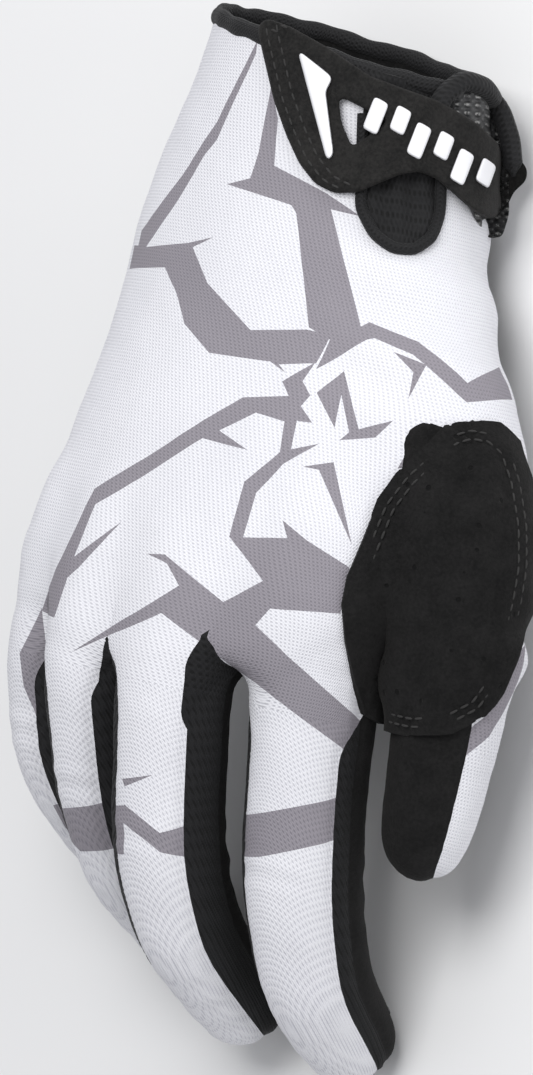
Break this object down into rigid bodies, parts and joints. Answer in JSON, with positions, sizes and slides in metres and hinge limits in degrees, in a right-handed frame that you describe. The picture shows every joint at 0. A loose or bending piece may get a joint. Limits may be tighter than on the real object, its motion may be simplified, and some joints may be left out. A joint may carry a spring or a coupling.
{
  "type": "riding glove",
  "caption": "Slim right-hand riding glove in a relaxed half-closed shape, with bending fingers, a suede palm, an elastic cuff and a hook-and-loop wrist strap that opens.",
  "frame": {"origin": "on the table, under the middle of the glove's outline", "axes": "+X to the thumb side, +Y to the wrist, +Z out of the back of the hand"},
  "size_m": [0.1146, 0.1993, 0.0629],
  "materials": {
    "printed_fabric": "fine knitted mesh, white with a grey angular print",
    "black_stretch_fabric": "ribbed stretch knit",
    "black_suede": "brushed microfibre suede",
    "black_binding": "smooth folded binding",
    "strap_suede": "rough suede",
    "hook_and_loop": "napped",
    "white_moulding": "satin",
    "grip_print": "satin"
  },
  "bodies": {
    "hand": {"cuff_binding": "black_binding", "cuff_lining": "black_stretch_fabric", "hand_back": "printed_fabric", "hand_palm": "black_suede", "loop_patch": "hook_and_loop", "notch_gusset": "black_stretch_fabric", "notch_piping": "black_binding", "strap_base": "strap_suede", "strap_blade": "white_moulding", "thumb_overlay": "black_suede"},
    "strap": {"hook_patch": "hook_and_loop", "strap_bars": "white_moulding", "strap_free": "strap_suede"},
    "thumb_tip": {"thumb_tip_back": "printed_fabric", "thumb_tip_palm": "black_suede"},
    "index_base": {"index_base_back": "printed_fabric", "index_base_gussets": "black_stretch_fabric", "index_base_palm": "black_suede"},
    "index_tip": {"index_tip_back": "printed_fabric", "index_tip_grip": "grip_print", "index_tip_gussets": "black_stretch_fabric", "index_tip_palm": "black_suede"},
    "middle_base": {"middle_base_back": "printed_fabric", "middle_base_gussets": "black_stretch_fabric", "middle_base_palm": "black_suede"},
    "middle_tip": {"middle_tip_back": "printed_fabric", "middle_tip_grip": "grip_print", "middle_tip_gussets": "black_stretch_fabric", "middle_tip_palm": "black_suede"},
    "ring_base": {"ring_base_back": "printed_fabric", "ring_base_gussets": "black_stretch_fabric", "ring_base_palm": "black_suede"},
    "ring_tip": {"ring_tip_back": "printed_fabric", "ring_tip_gussets": "black_stretch_fabric", "ring_tip_palm": "black_suede"},
    "pinky_base": {"pinky_base_back": "printed_fabric", "pinky_base_gussets": "black_stretch_fabric", "pinky_base_palm": "black_suede"},
    "pinky_tip": {"pinky_tip_back": "printed_fabric", "pinky_tip_gussets": "black_stretch_fabric", "pinky_tip_palm": "black_suede"}
  },
  "joints": [
    {"name": "index_knuckle", "type": "hinge", "parent": "hand", "child": "index_base", "pos_m": [0.0235, -0.03, 0.039], "axis": [1, 0, 0], "range_deg": [-10, 40]},
    {"name": "index_middle_joint", "type": "hinge", "parent": "index_base", "child": "index_tip", "pos_m": [0.0235, -0.061, 0.032], "axis": [1, 0, 0], "range_deg": [-15, 60]},
    {"name": "middle_knuckle", "type": "hinge", "parent": "hand", "child": "middle_base", "pos_m": [0, -0.03, 0.0525], "axis": [1, 0, 0], "range_deg": [-10, 40]},
    {"name": "middle_middle_joint", "type": "hinge", "parent": "middle_base", "child": "middle_tip", "pos_m": [0, -0.0595, 0.045], "axis": [1, 0, 0], "range_deg": [-15, 60]},
    {"name": "ring_knuckle", "type": "hinge", "parent": "hand", "child": "ring_base", "pos_m": [-0.022, -0.03, 0.051], "axis": [1, 0, 0], "range_deg": [-10, 40]},
    {"name": "ring_middle_joint", "type": "hinge", "parent": "ring_base", "child": "ring_tip", "pos_m": [-0.022, -0.053, 0.041], "axis": [1, 0, 0], "range_deg": [-15, 60]},
    {"name": "pinky_knuckle", "type": "hinge", "parent": "hand", "child": "pinky_base", "pos_m": [-0.041, -0.03, 0.0435], "axis": [1, 0, 0], "range_deg": [-10, 40]},
    {"name": "pinky_middle_joint", "type": "hinge", "parent": "pinky_base", "child": "pinky_tip", "pos_m": [-0.041, -0.0455, 0.038], "axis": [1, 0, 0], "range_deg": [-15, 60]},
    {"name": "thumb_middle_joint", "type": "hinge", "parent": "hand", "child": "thumb_tip", "pos_m": [0.0455, -0.03, 0.026], "axis": [1, 0, 0], "range_deg": [-10, 40]},
    {"name": "strap_fold", "type": "hinge", "parent": "hand", "child": "strap", "pos_m": [0.00408, 0.07954, 0.04348], "axis": [0.3775, -0.9202, -0.1039], "range_deg": [0, 140]}
  ]
}
